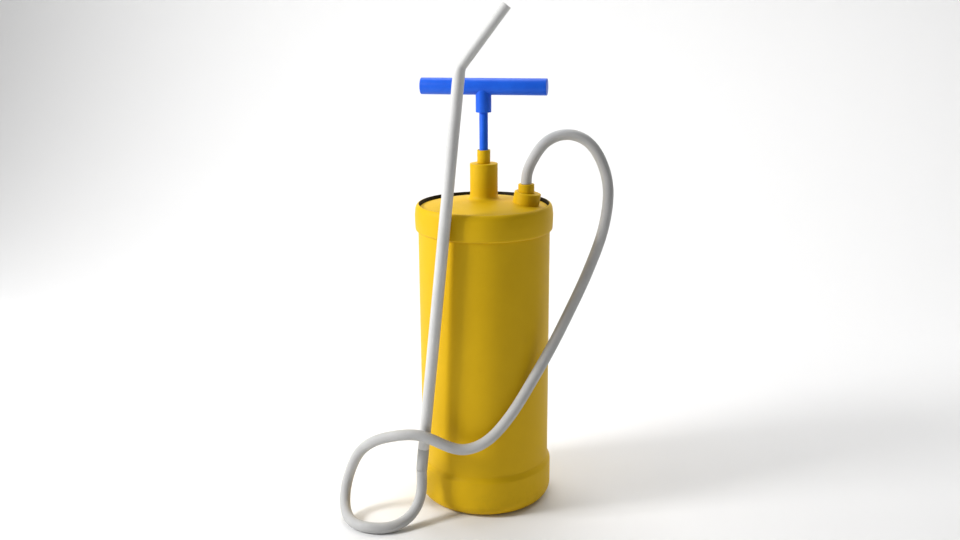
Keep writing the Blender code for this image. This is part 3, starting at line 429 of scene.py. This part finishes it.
gland_low, gland_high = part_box("gland_nut")
OUTLET_X = (gland_low.x + gland_high.x) / 2
HOSE_EXIT = Vector((OUTLET_X, 0, gland_high.z + SEAM))
HOSE_END = SLEEVE_FOOT - WAND_DIRECTION * SEAM
HOSE_ROUTE = [
    (0.0588, 0.0002, 0.4640), (0.0680, 0.0020, 0.4880), (0.0860, 0.0050, 0.5105), (0.1110, 0.0090, 0.5188),
    (0.1370, 0.0130, 0.5100), (0.1560, 0.0135, 0.4850), (0.1660, 0.0120, 0.4530), (0.1660, 0.0080, 0.4180),
    (0.1600, 0.0030, 0.3850), (0.1495, -0.0040, 0.3520), (0.1373, -0.0130, 0.3200),
    (0.1235, -0.0235, 0.2880), (0.1090, -0.0360, 0.2560), (0.0942, -0.0495, 0.2260),
    (0.0785, -0.0650, 0.1970), (0.0615, -0.0800, 0.1670), (0.0415, -0.0925, 0.1385),
    (0.0190, -0.1015, 0.1175), (-0.0090, -0.1095, 0.1095), (-0.0360, -0.1160, 0.1190),
    (-0.0650, -0.1215, 0.1303), (-0.0960, -0.1230, 0.1275), (-0.1250, -0.1180, 0.1162),
    (-0.1520, -0.1095, 0.0935), (-0.1680, -0.1045, 0.0640), (-0.1745, -0.1103, 0.0373),
    (-0.1684, -0.1303, 0.0141), (-0.1493, -0.1509, 0.0076), (-0.1230, -0.1585, 0.0076),
    (-0.0994, -0.1521, 0.0076), (-0.0757, -0.1285, 0.0162), (-0.0671, -0.1107, 0.0365),
    (-0.0666, -0.1043, 0.0580),
]


def smooth_path(points, spacing):
    """Evenly spaced points on the natural cubic spline through the given points."""
    given = np.array([tuple(p) for p in points])
    steps = np.linalg.norm(np.diff(given, axis=0), axis=1)
    knots = np.concatenate(([0.0], np.cumsum(steps)))
    count = len(given)
    matrix = np.eye(count)
    right = np.zeros_like(given)
    for i in range(1, count - 1):
        before, after = steps[i - 1], steps[i]
        matrix[i, i - 1:i + 2] = before, 2 * (before + after), after
        right[i] = 6 * ((given[i + 1] - given[i]) / after - (given[i] - given[i - 1]) / before)
    bend = np.linalg.solve(matrix, right)
    path = []
    for distance in np.linspace(0, knots[-1], round(knots[-1] / spacing) + 1):
        i = min(int(np.searchsorted(knots, distance, side="right")) - 1, count - 2)
        low = (knots[i + 1] - distance) / steps[i]
        high = 1 - low
        sag = ((low ** 3 - low) * bend[i] + (high ** 3 - high) * bend[i + 1]) * steps[i] ** 2 / 6
        path.append(Vector(low * given[i] + high * given[i + 1] + sag))
    return path


def tube_along(name, path, radius, rings=8):
    """A round tube along a line of points: a curve object with a round bevel."""
    line = bpy.data.curves.new(name, "CURVE")
    line.dimensions = "3D"
    line.bevel_depth = radius
    line.bevel_resolution = rings
    line.use_fill_caps = True
    spline = line.splines.new("POLY")
    spline.points.add(len(path) - 1)
    for point, place in zip(spline.points, path):
        point.co = (*place, 1)
    spline.use_smooth = True
    tube = bpy.data.objects.new(name, line)
    bpy.context.scene.collection.objects.link(tube)
    return tube


hose_path = smooth_path([HOSE_EXIT, *HOSE_ROUTE, HOSE_END], 4 * MM)
hose = tube_along("spray_hose", hose_path, HOSE_RADIUS)
stand_for(hose, "hose")
measured = sum((b - a).length for a, b in zip(hose_path, hose_path[1:]))
print("hose length:", round(measured, 4), "m")


# %% [markdown]
# ## Turned pieces
#
# Nearly everything on a sprayer is round: drawn, spun, turned or moulded. A ring of points is enough to
# start each one. In edit mode the ring is extruded upwards and scaled, again and again, which is how a
# glass or a bottle is modelled by hand. The outline below lists the stops of that walk as radius and
# height. At the end the rim is closed, or merged with the first ring when the walk comes back to it.

# %% Turn a piece from its outline
SMOOTH_ANGLE = math.radians(35)


def arc(centre, radius, first, last, count):
    """Points of an outline's round corner: centre as (radius, height), angles in degrees."""
    angles = np.radians(np.linspace(first, last, count + 1))
    return [(centre[0] + radius * math.cos(a), centre[1] + radius * math.sin(a)) for a in angles]


def eased(t):
    """0 at 0, 1 at 1, and level at both ends."""
    return t * t * (3 - 2 * t)


def turned(name, outline, sides=96, ends="joined", edge=0.0):
    """Walk a ring along the outline. Ends are joined to each other, filled, or left open."""
    stops = outline + outline[:1] if ends == "joined" else outline
    radius, height = stops[0]
    bpy.ops.object.select_all(action="DESELECT")
    bpy.ops.mesh.primitive_circle_add(vertices=sides, radius=radius, location=(0, 0, height))
    piece = bpy.context.object
    piece.name = name
    bpy.ops.object.transform_apply(location=True)
    bpy.ops.object.mode_set(mode="EDIT")
    bpy.ops.mesh.select_all(action="SELECT")
    for next_radius, next_height in stops[1:]:
        bpy.ops.mesh.extrude_region_move(TRANSFORM_OT_translate={"value": (0, 0, next_height - height)})
        grow = next_radius / radius
        bpy.ops.transform.resize(value=(grow, grow, 1), center_override=(0, 0, next_height))
        radius, height = next_radius, next_height
    bpy.ops.mesh.select_all(action="SELECT")
    bpy.ops.mesh.remove_doubles(threshold=0.000002)
    if ends == "filled":
        bpy.ops.mesh.fill_holes(sides=0)
    bpy.ops.mesh.normals_make_consistent(inside=False)
    bpy.ops.object.mode_set(mode="OBJECT")
    if edge:
        rounding = piece.modifiers.new("edge", "BEVEL")
        rounding.width = edge
        rounding.segments = 3
        rounding.limit_method = "ANGLE"
        rounding.angle_limit = math.radians(40)
        bpy.ops.object.modifier_apply(modifier=rounding.name)
    bpy.ops.object.shade_smooth_by_angle(angle=SMOOTH_ANGLE)
    return piece


def cut_out(piece, cutter):
    """Cut a piece by the solid cutter, which is then thrown away."""
    step = piece.modifiers.new(cutter.name, "BOOLEAN")
    step.object = cutter
    step.operation = "DIFFERENCE"
    bpy.context.view_layer.objects.active = piece
    bpy.ops.object.modifier_apply(modifier=step.name)
    bpy.data.objects.remove(cutter, do_unlink=True)
    piece.select_set(True)
    bpy.ops.object.shade_smooth_by_angle(angle=SMOOTH_ANGLE)


def lay_along(piece, start, direction):
    """Move a piece that was turned about Z on to another axis, and apply the move to its mesh."""
    piece.rotation_mode = "QUATERNION"
    piece.rotation_quaternion = Vector(direction).to_track_quat("Z", "Y")
    piece.location = start
    bpy.ops.object.select_all(action="DESELECT")
    piece.select_set(True)
    bpy.context.view_layer.objects.active = piece
    bpy.ops.object.transform_apply(location=True, rotation=True, scale=True)
    return piece


def span(node):
    """A frame node's largest radius about its own upright axis, and its lowest and highest level."""
    low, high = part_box(node)
    return (high.x - low.x) / 2, low.z, high.z


# %% [markdown]
# ## Tank
#
# The wall is a rolled sheet of steel. The cup round its foot and the ring round its head are pressed
# pieces with soft edges, so their outlines get real arcs, where a plain corner would catch no light. The
# head is part of a large sphere that runs up into the neck through a small fillet.

# %% Turn the wall and the base cup
WALL = 1.5 * MM
wall_radius, wall_foot, wall_top = span("tank_wall")
wall = turned("tank_wall_sheet", [(wall_radius, wall_foot), (wall_radius, 0.10), (wall_radius, 0.25),
                                  (wall_radius, wall_top), (wall_radius - WALL, wall_top),
                                  (wall_radius - WALL, wall_foot)], 128)
stand_for(wall, "tank_wall")

cup_radius, _, cup_top = span("base_cup")
CUP_ROUND = 17.0 * MM
CUP_TAPER = 9.0 * MM
CUP_RIM = 0.25 * MM
CLOSE_SEAM = SEAM / 6         # pressed pieces hug the wall, so the seam is only a hairline
CUP_PLUG = 2.0 * MM           # radius of the floor's inner edge, which the tank hides
cup_inner = wall_radius + CLOSE_SEAM
cup_sheet = cup_radius - wall_radius - SEAM
corner = (cup_radius - CUP_ROUND, CUP_ROUND)
cup_outline = [(CUP_PLUG, 0), (cup_radius - CUP_ROUND, 0)]
cup_outline += arc(corner, CUP_ROUND, -86, 0, 16)
for t in np.linspace(0, 1, 9):
    thinning = (cup_radius - cup_inner - CUP_RIM) * eased(t)
    cup_outline.append((cup_radius - thinning, cup_top - CUP_TAPER * (1 - t)))
cup_outline += [(cup_inner, cup_top)] + arc(corner, CUP_ROUND - cup_sheet, 0, -90, 6)
cup_outline += [(CUP_PLUG, cup_sheet)]
cup = turned("base_cup_pressing", cup_outline, 128)
stand_for(cup, "base_cup")
print("tank across:", round(2 * wall_radius, 4), "m, cup across:", round(2 * cup_radius, 4), "m")

# %% [markdown]
# ## Carrying ring
#
# The ring clasps the wall's upper edge and stands above the head. Its sheet is rolled over at the top, in
# a long soft curve that catches the light, and turned in a little at the foot. The curve is a quarter of
# an ellipse, which a Bevel can't make, so its points are in the outline.

# %% Turn the carrying ring
ring_radius, ring_foot, ring_top = span("top_ring")
RING_TOP_WIDTH = 5.0 * MM
RING_TOP_DROP = 10.0 * MM
RING_FOOT_EDGE = 3.6 * MM
RING_CROWN = 0.6 * MM
RING_LIP = 0.3 * MM
head_radius = span("tank_head")[0]
ring_inner = wall_radius + CLOSE_SEAM
ring_throat = head_radius + SEAM
ring_face = ring_radius - RING_CROWN
ring_middle = (ring_foot + ring_top) / 2
ring_outline = arc((ring_face - RING_FOOT_EDGE, ring_foot + RING_FOOT_EDGE), RING_FOOT_EDGE, -88, 0, 6)
ring_outline += [(ring_radius - RING_CROWN / 4, ring_middle - 6 * MM), (ring_radius, ring_middle + 4 * MM)]
for turn in np.radians(np.linspace(0, 90, 13)):
    ring_outline.append((ring_face - RING_TOP_WIDTH * (1 - math.cos(turn)),
                         ring_top - RING_TOP_DROP * (1 - math.sin(turn))))
ring_outline += arc((ring_throat + RING_LIP, ring_top - RING_LIP), RING_LIP, 90, 180, 2)
ring_outline += [(ring_throat, wall_top + SEAM), (ring_inner, wall_top + SEAM), (ring_inner, ring_foot)]
ring = turned("carrying_ring", ring_outline, 128)
stand_for(ring, "top_ring")

# %% [markdown]
# ## Head and neck
#
# The head is one pressing: a shallow dome, a fillet, a neck and a spigot for the cap's thread. The height
# of a sphere over its edge gives the dome's points, and the same sum tells later pieces how high the dome
# is under them.

# %% Turn the head with its neck
HEAD_RISE = 16.0 * MM
HEAD_SPHERE = 330.0 * MM
HEAD_EDGE_ROUND = 3.0 * MM
NECK_FILLET = 6.0 * MM
NECK_BORE = 15.0 * MM
SPIGOT_HEIGHT = 8.0 * MM
SPIGOT_RADIUS = 16.9 * MM
neck_radius = span("pump_cap")[0]
spigot_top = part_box("tank_head")[1].z
skirt_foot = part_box("tank_head")[0].z


def dome_height(radius):
    """Height of the head's surface at a distance from the axis."""
    return wall_top + HEAD_RISE + (head_radius ** 2 - radius ** 2) / (2 * HEAD_SPHERE)


fillet_foot = neck_radius + NECK_FILLET
dome_edge = head_radius - HEAD_EDGE_ROUND
edge_height = dome_height(dome_edge)
neck_top = spigot_top - SPIGOT_HEIGHT
head_outline = [(NECK_BORE, spigot_top), (SPIGOT_RADIUS, spigot_top), (SPIGOT_RADIUS, neck_top),
                (neck_radius, neck_top)]
head_outline += arc((fillet_foot, dome_height(fillet_foot) + NECK_FILLET), NECK_FILLET, 180, 268, 10)
head_outline += [(r, dome_height(r)) for r in np.linspace(fillet_foot, dome_edge, 14)[1:]]
head_outline += arc((dome_edge, edge_height - HEAD_EDGE_ROUND), HEAD_EDGE_ROUND, 80, 0, 5)
head_outline += [(head_radius, skirt_foot), (head_radius - WALL, skirt_foot),
                 (head_radius - WALL, edge_height - HEAD_EDGE_ROUND)]
head_outline += [(r, dome_height(r) - WALL) for r in np.linspace(dome_edge - WALL, fillet_foot, 8)]
head_outline += [(NECK_BORE, dome_height(fillet_foot) - WALL)]
head = turned("tank_head_dome", head_outline, 128)
stand_for(head, "tank_head")
print("head rises", round((dome_height(fillet_foot) - wall_top) / MM, 1), "mm over the wall")

# %% [markdown]
# ## Outlet
#
# The boss is a short round pad that sits on the dome, square to it, so it leans outwards. Its foot has to
# follow the dome. A Shrinkwrap modifier does that: the foot's ring of points is let down on the dome, and
# the top stays flat. The gland nut stands upright in a seat that is cut into the boss.

# %% Set the boss on the dome
BOSS_RADIUS = 18.0 * MM
BOSS_HEIGHT = 15.0 * MM
BOSS_TILT = math.radians(9.0)
BOSS_EDGE = 1.2 * MM
BOSS_SINK = 6.0 * MM          # how far its foot starts under the dome
SEAT_REACH = 30.0 * MM
gland_radius = (gland_high.x - gland_low.x) / 2
boss_axis = Vector((math.sin(BOSS_TILT), 0, math.cos(BOSS_TILT)))
boss_place = Vector((OUTLET_X, 0, dome_height(OUTLET_X)))
boss_outline = [(BOSS_RADIUS, -BOSS_SINK), (BOSS_RADIUS, BOSS_HEIGHT - BOSS_EDGE)]
boss_outline += arc((BOSS_RADIUS - BOSS_EDGE, BOSS_HEIGHT - BOSS_EDGE), BOSS_EDGE, 15, 90, 5)
boss = turned("outlet_boss_pad", boss_outline, 96, "filled")
lay_along(boss, boss_place, boss_axis)
foot_ring = [v.index for v in boss.data.vertices if (v.co - boss_place).dot(boss_axis) < -BOSS_SINK / 2]
boss.vertex_groups.new(name="foot").add(foot_ring, 1.0, "REPLACE")
let_down = boss.modifiers.new("let down on the dome", "SHRINKWRAP")
let_down.target = head
let_down.wrap_method = "PROJECT"
let_down.use_project_z = True
let_down.use_negative_direction = True
let_down.use_positive_direction = True
let_down.vertex_group = "foot"
let_down.offset = SEAM
bpy.ops.object.modifier_apply(modifier=let_down.name)

bpy.ops.object.select_all(action="DESELECT")
bpy.ops.mesh.primitive_cylinder_add(vertices=64, radius=gland_radius + SEAM, depth=SEAT_REACH,
                                    location=(OUTLET_X, 0, gland_low.z - SEAM + SEAT_REACH / 2))
cut_out(boss, bpy.context.object)
stand_for(boss, "outlet_boss")

# %% Turn the gland nut
STUB_RADIUS = 5.0 * MM
gland = turned("hose_gland_nut", [
    (gland_radius, gland_low.z), (gland_radius, gland_high.z), (STUB_RADIUS + SEAM, gland_high.z),
    (STUB_RADIUS + SEAM, gland_low.z)], 96, "joined", 0.8 * MM)
gland.data.transform(Matrix.Translation((OUTLET_X, 0, 0)))
stand_for(gland, "gland_nut")

# %% [markdown]
# ## Pump head
#
# The cap screws on to the neck and carries the rod's guide nut. All of them are plain turned pieces. A
# Bevel modifier breaks every corner of the nut and the wiper at once. The cap gets its round edge in the
# outline instead, because its lower rim has to stay sharp to meet the neck in a hairline.

# %% Turn the cap, the guide nut and the wiper
ROD_BORE = 6.1 * MM
GUIDE_THREAD = 3.7 * MM
WIPER_DEPTH = 4.7 * MM
WIPER_LIP = 0.5 * MM
BUSH_STEP = 1.4 * MM          # how much narrower the nut's thread is than the bush under it
CAP_EDGE = 0.8 * MM
cap_radius, cap_foot, cap_top = span("pump_cap")
guide_radius, guide_foot, guide_top = span("guide_nut")
wiper_radius, wiper_foot, wiper_top = span("rod_wiper")
skirt_bore = SPIGOT_RADIUS + SEAM
bush_radius, cap_ceiling, bush_level = span("rod_bush")
thread_bore = bush_radius - BUSH_STEP
bush_bore = bush_radius + SEAM
bush_top = bush_level + SEAM
cap_rim = cap_foot - SEAM * 0.8
cap_outline = [(skirt_bore, cap_rim), (cap_radius, cap_rim)]
cap_outline += arc((cap_radius - CAP_EDGE, cap_top - CAP_EDGE), CAP_EDGE, 0, 90, 4)
cap_outline += [(thread_bore, cap_top), (thread_bore, bush_top), (bush_bore, bush_top),
                (bush_bore, cap_ceiling), (skirt_bore, cap_ceiling)]
cap = turned("pump_cap_turning", cap_outline, 96)
stand_for(cap, "pump_cap")

thread_radius = thread_bore - SEAM
guide = turned("rod_guide_nut", [
    (ROD_BORE, guide_foot), (thread_radius, guide_foot), (thread_radius, guide_foot + GUIDE_THREAD),
    (guide_radius, guide_foot + GUIDE_THREAD), (guide_radius, guide_top), (wiper_radius + SEAM, guide_top),
    (wiper_radius + SEAM, guide_top - WIPER_DEPTH), (ROD_BORE, guide_top - WIPER_DEPTH)],
    96, "joined", 0.4 * MM)
stand_for(guide, "guide_nut")

wiper = turned("rod_wiper_lip", [
    (wiper_radius, wiper_foot), (wiper_radius, wiper_top), (ROD_BORE + WIPER_LIP, wiper_top),
    (ROD_BORE, wiper_top + 0.2 * MM), (ROD_BORE, wiper_foot)], 64, "joined", 0.2 * MM)
stand_for(wiper, "rod_wiper")

# %% [markdown]
# ## Rod and handle
#
# The rod goes up into a socket, and the socket's upper end is cut to a saddle that fits under the bar. A
# cylinder of the bar's size cuts that saddle with a Boolean. The bar is a tube with a plug flush in each
# end, so its ends look solid with a fine line round them.

# %% Turn the rod and its socket
STEM_RADIUS = 3.5 * MM
rod_radius, stem_end, rod_top = span("pump_rod")
rod_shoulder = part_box("rod_bumper")[0].z - SEAM
rod = turned("pump_rod_bar", [
    (STEM_RADIUS, stem_end), (STEM_RADIUS, rod_shoulder), (rod_radius, rod_shoulder),
    (rod_radius, rod_top)], 64, "filled", 0.3 * MM)
stand_for(rod, "pump_rod")

bar_low, bar_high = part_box("handle_bar")
bar_radius = (bar_high.z - bar_low.z) / 2
bar_centre = (bar_high.z + bar_low.z) / 2
bar_half = bar_high.x
socket_radius, socket_foot, _ = span("handle_socket")
socket = turned("handle_socket_sleeve", [
    (ROD_BORE, socket_foot), (socket_radius, socket_foot), (socket_radius, bar_centre),
    (ROD_BORE, bar_centre)], 96, "joined", 0.5 * MM)
bpy.ops.object.select_all(action="DESELECT")
bpy.ops.mesh.primitive_cylinder_add(vertices=96, radius=bar_radius + SEAM / 3, depth=2 * bar_half,
                                    location=(0, 0, bar_centre), rotation=(0, math.pi / 2, 0))
cut_out(socket, bpy.context.object)
stand_for(socket, "handle_socket")

# %% Turn the bar and its plugs
BAR_WALL = 2.0 * MM
BAR_PLUG = 6.0 * MM
bar = turned("handle_bar_tube", [
    (bar_radius - BAR_WALL, -bar_half), (bar_radius, -bar_half), (bar_radius, 0), (bar_radius, bar_half),
    (bar_radius - BAR_WALL, bar_half)], 96, "joined", 0.7 * MM)
lay_along(bar, (0, 0, bar_centre), (1, 0, 0))
stand_for(bar, "handle_bar")
plug_radius = bar_radius - BAR_WALL - SEAM
for side, direction in (("right", 1), ("left", -1)):
    plug = turned(f"bar_end_plug_{side}", [(plug_radius, bar_half - BAR_PLUG), (plug_radius, bar_half)],
                  64, "filled", 0.5 * MM)
    lay_along(plug, (0, 0, bar_centre), (direction, 0, 0))
    stand_for(plug, f"bar_plug_{side}")

# %% [markdown]
# ## Wand
#
# The wand is a long light tube with a knee near its end. The sleeve, the two straight tubes and the nozzle
# are turned pieces that are laid along the wand's own direction. Turning them upright first and laying
# them along it afterwards keeps the outlines simple.

# %% Turn the sleeve and the straight tubes
SLEEVE_BORE = 5.6 * MM
WAND_WALL = 1.5 * MM
TIP_RADIUS = 6.3 * MM
ELBOW_LEG = 6.5 * MM
sleeve_end = SLEEVE_LENGTH - SEAM
sleeve = turned("hose_sleeve_grip", [
    (SLEEVE_BORE, 0), (WAND_RADIUS, 0), (WAND_RADIUS, sleeve_end), (SLEEVE_BORE, sleeve_end)],
    64, "joined", 0.6 * MM)
lay_along(sleeve, SLEEVE_FOOT, WAND_DIRECTION)
stand_for(sleeve, "hose_sleeve")

wand_length = (WAND_BEND - WAND_LOW).length - ELBOW_LEG
wand = turned("wand_long_tube", [
    (WAND_RADIUS - WAND_WALL, 0), (WAND_RADIUS, 0), (WAND_RADIUS, wand_length / 2),
    (WAND_RADIUS, wand_length), (WAND_RADIUS - WAND_WALL, wand_length)], 64)
lay_along(wand, WAND_LOW, WAND_DIRECTION)
stand_for(wand, "wand_tube")

NOZZLE_CAP_LENGTH = 14.0 * MM
NOZZLE_HEAD = 4.0 * MM
tip_start = WAND_BEND + TIP_DIRECTION * ELBOW_LEG
tip_length = (WAND_TIP - WAND_BEND).length - ELBOW_LEG
tip_tube_length = tip_length - NOZZLE_CAP_LENGTH - NOZZLE_HEAD - 2 * SEAM
tip = turned("wand_tip_tube", [
    (TIP_RADIUS - WAND_WALL, 0), (TIP_RADIUS, 0), (TIP_RADIUS, tip_tube_length),
    (TIP_RADIUS - WAND_WALL, tip_tube_length)], 64)
lay_along(tip, tip_start, TIP_DIRECTION)
stand_for(tip, "tip_tube")

# %% [markdown]
# ## Knee
#
# A turned piece can't bend, so the knee is a curve between the two tubes. A quadratic Bezier with its
# middle handle on the corner gives the points, and each point's radius takes the bevel from the wide tube
# to the narrow one.

# %% Bend the knee
entry = WAND_BEND - WAND_DIRECTION * ELBOW_LEG
leave = WAND_BEND + TIP_DIRECTION * ELBOW_LEG
steps = [i / 24 for i in range(25)]
knee_path = [entry * (1 - t) ** 2 + WAND_BEND * 2 * t * (1 - t) + leave * t ** 2 for t in steps]
knee = tube_along("wand_knee", knee_path, WAND_RADIUS, 14)
for point, t in zip(knee.data.splines[0].points, steps):
    point.radius = 1 + (TIP_RADIUS / WAND_RADIUS - 1) * eased(t)
stand_for(knee, "wand_elbow")

# %% [markdown]
# ## Nozzle
#
# The nozzle is a collar that is pushed into the wand's tip, with a nose that carries a screw cap. Both are
# turned on the tip's own line. Their outlines start from the tube's end, so they stay flush with it. The
# cap's front has a shallow dish round the spray hole.

# %% Turn the nozzle
SPIGOT_LENGTH = 15.0 * MM
SPIGOT_FIT = 4.5 * MM
NOSE_RADIUS = 4.4 * MM
NOSE_LENGTH = 9.2 * MM
FLOW_BORE = 1.5 * MM
CAP_BORE = 4.9 * MM
CAP_CORNER = 0.3 * MM
CAP_FRONT = 2.4 * MM
SPRAY_HOLE = 0.9 * MM
DISH_OUTER = 4.6 * MM
DISH_INNER = 3.6 * MM
head_foot = tip_tube_length + SEAM / 3
spigot_end = head_foot - SPIGOT_LENGTH
cap_start = tip_tube_length + NOZZLE_HEAD + 2 * SEAM
head_end = cap_start - SEAM / 3
cap_end = cap_start + NOZZLE_CAP_LENGTH
nose_end = cap_start + NOSE_LENGTH
collar = turned("nozzle_collar", [
    (FLOW_BORE, spigot_end), (SPIGOT_FIT, spigot_end), (SPIGOT_FIT, head_foot), (TIP_RADIUS, head_foot),
    (TIP_RADIUS, head_end), (NOSE_RADIUS, head_end), (NOSE_RADIUS, nose_end), (FLOW_BORE, nose_end)], 64)
lay_along(collar, tip_start, TIP_DIRECTION)
stand_for(collar, "nozzle_body")

nozzle = turned("nozzle_cap_turning", [
    (CAP_BORE, cap_start), (TIP_RADIUS, cap_start), (TIP_RADIUS, cap_end - CAP_CORNER),
    (TIP_RADIUS - CAP_CORNER, cap_end), (DISH_OUTER, cap_end), (DISH_INNER, cap_end - 1.6 * MM),
    (SPRAY_HOLE, cap_end - 1.8 * MM), (SPRAY_HOLE, cap_end - CAP_FRONT), (CAP_BORE, cap_end - CAP_FRONT)],
    64)
lay_along(nozzle, tip_start, TIP_DIRECTION)
stand_for(nozzle, "nozzle_cap")
